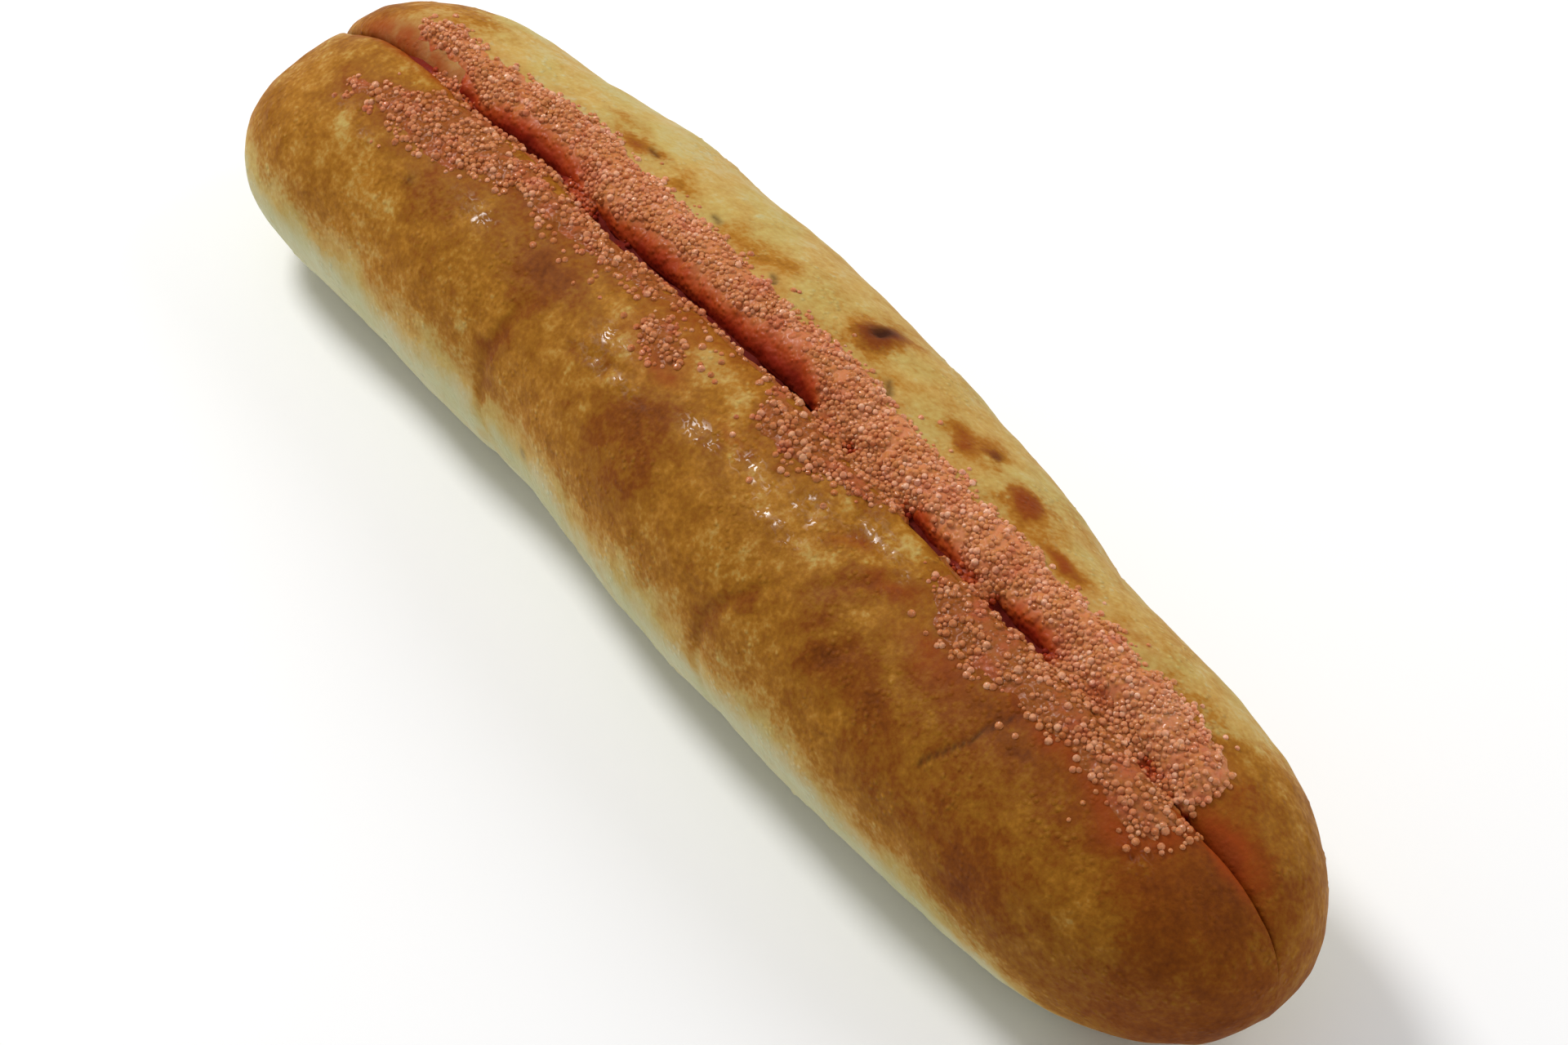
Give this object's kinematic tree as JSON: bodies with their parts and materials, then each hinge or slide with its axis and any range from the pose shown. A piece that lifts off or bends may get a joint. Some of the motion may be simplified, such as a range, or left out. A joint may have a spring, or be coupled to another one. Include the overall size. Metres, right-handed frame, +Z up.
{
  "type": "baguette",
  "caption": "Short baguette cut open along its top, with salted cod roe baked in the cut and spread over its lips.",
  "frame": {"origin": "middle of the bounding box's base, on the flat face that the loaf rests on", "axes": "+X along the loaf from its blunt end to its narrower end, +Y across it towards the paler flank, +Z up"},
  "size_m": [0.245, 0.0642, 0.0498],
  "materials": {
    "crust": "thin baked crust, buttered and glossy on top, pale and matt low on the flanks",
    "roe": "moist, grainy salmon-pink roe with oily highlights",
    "melted_roe": "wet dark red roe butter"
  },
  "bodies": {
    "root": {"loaf": "crust", "roe_filling": "melted_roe", "roe_band_pale_lip": "roe", "roe_patch_blunt_end": "roe", "roe_patch_island": "roe", "roe_patch_middle": "roe", "roe_patch_narrow_end": "roe"}
  },
  "joints": []
}
